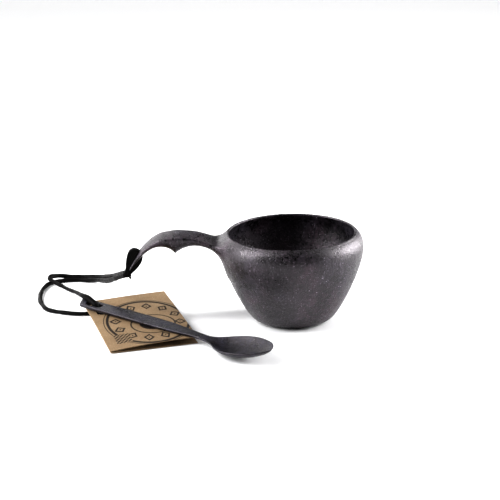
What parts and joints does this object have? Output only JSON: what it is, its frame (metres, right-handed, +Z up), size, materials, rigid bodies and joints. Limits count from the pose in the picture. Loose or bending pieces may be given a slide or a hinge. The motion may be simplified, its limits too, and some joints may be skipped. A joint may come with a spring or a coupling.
{
  "type": "kuksa_cup",
  "caption": "Moulded dark wood-fibre kuksa cup with an arched finger handle, tied by a black leather lace through the handle's eye to a matching spoon and a folded kraft card tag.",
  "frame": {"origin": "centre of the cup's foot, on the table", "axes": "+Z up, the handle points along -X, the spoon's bowl and the tag's front edge lie towards -Y"},
  "size_m": [0.2431, 0.1967, 0.067],
  "materials": {
    "dark_composite": "satin charcoal wood-fibre composite with purplish-grey mottling and fine light specks",
    "spoon_composite": "smoother satin bluish-grey wood-fibre composite",
    "kraft_card": "matt uncoated kraft card with a dark printed ornament",
    "black_leather": "black flat leather lace with a soft sheen"
  },
  "bodies": {
    "root": {"cup": "dark_composite", "lace": "black_leather", "lace_hitch": "black_leather"},
    "tag_back": {"tag_back_leaf": "kraft_card"},
    "tag_front": {"tag_front_leaf": "kraft_card"},
    "spoon": {"spoon": "spoon_composite"}
  },
  "joints": [
    {"name": "tag_swivel", "type": "hinge", "parent": "root", "child": "tag_back", "pos_m": [-0.1405, 0.0083, 0.003], "axis": [0, 0, 1], "range_deg": [-8, 1]},
    {"name": "tag_fold", "type": "hinge", "parent": "tag_back", "child": "tag_front", "pos_m": [-0.1274, -0.0665, 0.002], "axis": [0.2756, -0.9613, 0], "range_deg": [0, 10]},
    {"name": "spoon_lift", "type": "hinge", "parent": "tag_back", "child": "spoon", "pos_m": [-0.1513, 0.0171, 0.009], "axis": [-0.6361, -0.7716, 0], "range_deg": [0, 10]}
  ],
  "couplings": [
    {"joint": "tag_fold", "follows": "spoon_lift", "ratio": 0.8}
  ]
}
